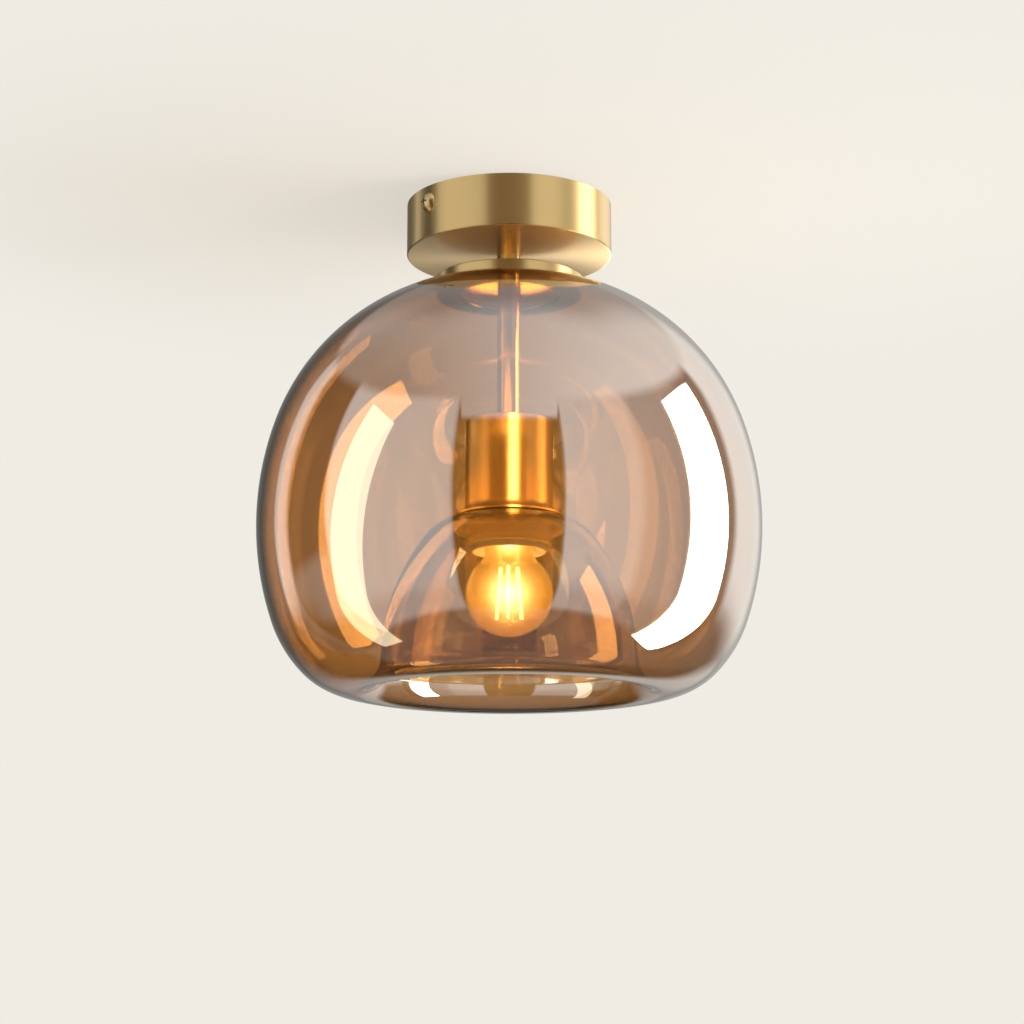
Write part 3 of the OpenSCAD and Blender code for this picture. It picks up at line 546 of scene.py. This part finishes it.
# Arcs that meet without a kink, from the seat under the glass cap down to the foot: blend,
# shoulder, side, haunch, heel and fold; then up the dome's flank to its crown.
blend_centre = (seat_radius, seat_high - blend_radius)
shoulder_point = on(blend_centre, blend_radius, shoulder_angle)
shoulder_radius = (
    (globe_radius - shoulder_point[0] - side_radius * (1 - cosine(side_angle)))
    / (cosine(side_angle) - cosine(shoulder_angle)))
shoulder_centre = on(shoulder_point, -shoulder_radius, shoulder_angle)
side_centre = on(shoulder_centre, shoulder_radius - side_radius, side_angle)
haunch_point = on(side_centre, side_radius, -side_angle)
haunch_radius, heel_radius = crossing(
    cosine(side_angle) - cosine(haunch_angle), cosine(haunch_angle),
    -sine(side_angle) - sine(haunch_angle), 1 + sine(haunch_angle),
    haunch_point[0] - lip_radius, haunch_point[1] - foot_low)
haunch_centre = on(side_centre, side_radius - haunch_radius, -side_angle)
heel_centre = on(haunch_centre, haunch_radius - heel_radius, haunch_angle)
fold_centre = (lip_radius, foot_low + fold_radius)
crown_centre = (crown_reach, dome_top - crown_radius)
crown_point = on(crown_centre, crown_radius, crown_angle)
wall_point = on(fold_centre, fold_radius - glass_wall, lean - 180)
flank_radius = crossing(
    cosine(lean) - cosine(crown_angle), sine(lean),
    sine(crown_angle) - sine(lean), cosine(lean),
    wall_point[0] - crown_point[0], crown_point[1] - wall_point[1])[0]
flank_centre = on(crown_centre, crown_radius - flank_radius, crown_angle)


def glass_side(inset):
    """One side of the wall from the top hole round to the dome's hole."""
    outside = inset - glass_wall
    return [
        (top_hole + glass_wall / 2, seat_high - inset), (seat_radius, seat_high - inset),
        *arc(blend_centre, blend_radius - inset, 90, shoulder_angle),
        *arc(shoulder_centre, shoulder_radius - inset, shoulder_angle, side_angle, 2),
        *arc(side_centre, side_radius - inset, side_angle, -side_angle, 2),
        *arc(haunch_centre, haunch_radius - inset, -side_angle, haunch_angle, 2),
        *arc(heel_centre, heel_radius - inset, haunch_angle, -90),
        *arc(fold_centre, fold_radius - inset, -90, lean - 180, 4),
        on(flank_centre, flank_radius + outside, lean),
        *arc(flank_centre, flank_radius + outside, lean, crown_angle),
        *arc(crown_centre, crown_radius + outside, crown_angle, 90, 4),
        (dome_hole + glass_wall / 2, dome_top + outside)]


def polished_edge(hole, high):
    """The half round that fire-polishing gives the wall's edge at a hole."""
    return arc((hole + glass_wall / 2, high - glass_wall / 2), glass_wall / 2, 270, 90, 20)[:-1]


def on_the_dome(surface):
    """1 on the dome, 0 on the globe, with a soft change in the fold between them."""
    x, y, z = surface.node("ShaderNodeTexCoord", None, None, "Object").axes()
    inner = ((x * x + y * y) ** 0.5).fade(0.072, 0.058)
    return inner * z.fade(-0.14, -0.16, soft=False)


def cognac_stain(surface):
    """The globe is stained deep and the dome nearly clear."""
    return on_the_dome(surface).blend((0.80, 0.545, 0.30), (0.97, 0.95, 0.92))


def lustre(surface):
    """The mirror coat's share, which is a little thinner on the dome."""
    return 0.32 - on_the_dome(surface) * 0.04


shade = turned("blown_shade", [
    *glass_side(0), *polished_edge(dome_hole, dome_top),
    *glass_side(glass_wall)[::-1], *polished_edge(top_hole, seat_high)], 180)
shade.data.materials.append(blown_glass(
    "cognac_glass", (0.78, 0.57, 0.14), 100, cognac_stain, lustre)[0])
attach(shade, "shade")
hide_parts("glass_shade")
lit_by_glass_strips.objects.link(shade)

# Shade ring: moulded heat-proof plastic, a dished flange with soft rims over a collar with
# two scored lines and a finger groove; it screws on the holder's sleeve from below.
ring_top, flange_under, ring_foot = -0.1717, -0.1756, -0.1836
bore, collar, dish, brim, soft = 0.01978, 0.0219, 0.027, 0.0284, 0.0005
under_dish = ring_top - 0.0016
scored_lines, scored_half, scored_depth = (-0.1767, -0.1779), 0.0002, 0.0003
groove_top, groove_foot, groove = -0.1790, -0.1823, 0.0007
moulded_ring = turned("moulded_ring", [
    (bore, ring_top), (brim - soft, ring_top),
    *arc((brim - soft, ring_top - soft), soft, 90, 0, 15), (brim, flange_under + soft),
    *arc((brim - soft, flange_under + soft), soft, 0, -90, 15), (dish + soft, flange_under),
    *arc((dish + soft, flange_under + soft), soft, -90, -180, 15), (dish, under_dish - soft),
    *arc((dish - soft, under_dish - soft), soft, 0, 90, 15), (collar + soft, under_dish),
    *arc((collar + soft, under_dish - soft), soft, 90, 180, 15),
    *[(collar - depth, line + rise) for line in scored_lines
      for depth, rise in ((0, scored_half), (scored_depth, 0), (0, -scored_half))],
    (collar, groove_top), (collar - groove, groove_top - groove),
    (collar - groove, groove_foot + groove), (collar, groove_foot),
    (collar, ring_foot + soft), *arc((collar - soft, ring_foot + soft), soft, 0, -90, 15),
    (bore, ring_foot)], 120)
moulded_ring.data.materials.append(plain_finish(
    "ring_plastic", (0.82, 0.64, 0.38), (0.79, 0.61, 0.35), 0.26, 0.0, 1500, 0.03, coat=0.3))
for group in nodes["shade_ring"].users_collection:
    if group.name.startswith("lit_by"):
        group.objects.link(moulded_ring)
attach(moulded_ring, "ring")
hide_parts("shade_ring")

# Bulb: a thin globe of amber glass over a pressed clear foot that is fused to it. The
# filaments' glow is a haze on the globe's glass, which with it casts its full shadow.
amber_glass, surface, coated = blown_glass(
    "amber_bulb_glass", (0.95, 0.66, 0.25), 500, (0.98, 0.84, 0.5))
facing = 1.0 - surface.node("ShaderNodeLayerWeight", None, {"Blend": 0.5}, "Facing")
core = facing ** 13.0
haze = surface.node("ShaderNodeEmission", None, {
    "Color": core.blend((4.6, 3.5, 1.3), (16.0, 16.0, 14.0)), "Strength": 1.0})
glowing_share = core * 0.5 + facing ** 3.0 * 0.08 + (1.0 - facing) ** 4.0 * 0.1 + 0.09
close(surface, glowing_share.mix(coated, haze))
finish(amber_glass, "bulb_glass")
finish(blown_glass("clear_glass", (0.9, 0.92, 0.9), 20, (1, 1, 1))[0], "bulb_mount")

# Filaments: four glass rods set with chips and dipped in yellow phosphor, all glowing;
# the leads hold each of them at both ends.
filament_glow, surface = blank_material("filament")
close(surface, surface.node("ShaderNodeEmission", None, {
    "Color": (1.0, 0.94, 0.84, 1), "Strength": 260.0}))
finish(filament_glow, "bulb_filaments")
